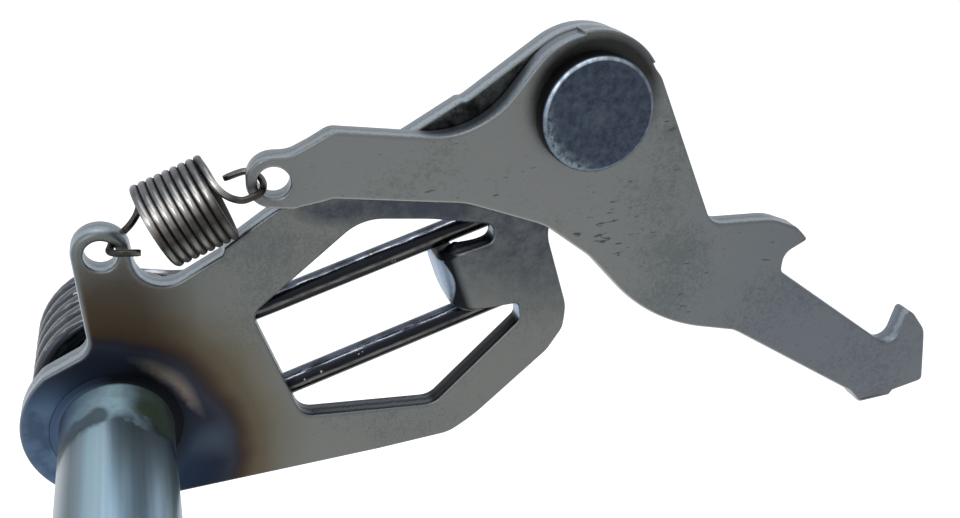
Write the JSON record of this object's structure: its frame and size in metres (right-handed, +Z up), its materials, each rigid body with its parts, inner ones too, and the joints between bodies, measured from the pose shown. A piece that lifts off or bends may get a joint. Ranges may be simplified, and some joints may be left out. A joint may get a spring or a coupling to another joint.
{
  "type": "gear shift shaft",
  "caption": "Steel spindle with a stamped plate, a sprung pivoting arm with beak and hook, and a return spring whose legs straddle a tab; lets a foot pedal turn a gearbox's shift drum.",
  "frame": {"origin": "on the spindle's axis, at the front face of the shift plate", "axes": "-Y along the spindle towards the pedal end, +Z up in the plane of the plate, +X to the right, towards the claws"},
  "size_m": [0.1378, 0.147, 0.0656],
  "materials": {
    "spindle_steel": "ground, bright",
    "plate_steel": "stamped, satin, heat tinted round the spindle",
    "weld_bead": "scaled weld metal",
    "arm_steel": "stamped, satin",
    "rivet_steel": "dark, turned",
    "spring_wire_bright": "drawn wire",
    "spring_wire_black": "oil-blackened wire",
    "washer_steel": "plain",
    "circlip_steel": "phosphated"
  },
  "bodies": {
    "spindle_assembly": {"spindle": "spindle_steel", "shift_plate": "plate_steel", "weld_ring": "weld_bead", "pivot_rivet": "rivet_steel", "arm_spring": "spring_wire_bright", "return_spring": "spring_wire_black", "thrust_washer": "washer_steel", "circlip": "circlip_steel"},
    "arm": {"shift_arm": "arm_steel"}
  },
  "joints": [
    {"name": "arm_pivot", "type": "hinge", "parent": "spindle_assembly", "child": "arm", "pos_m": [0.0633, 0, 0.0377], "axis": [0, 1, 0], "range_deg": [0, 16], "stiffness_Nm_per_rad": 0.9, "springref_deg": -2.41, "deforming": ["arm_spring"]}
  ]
}
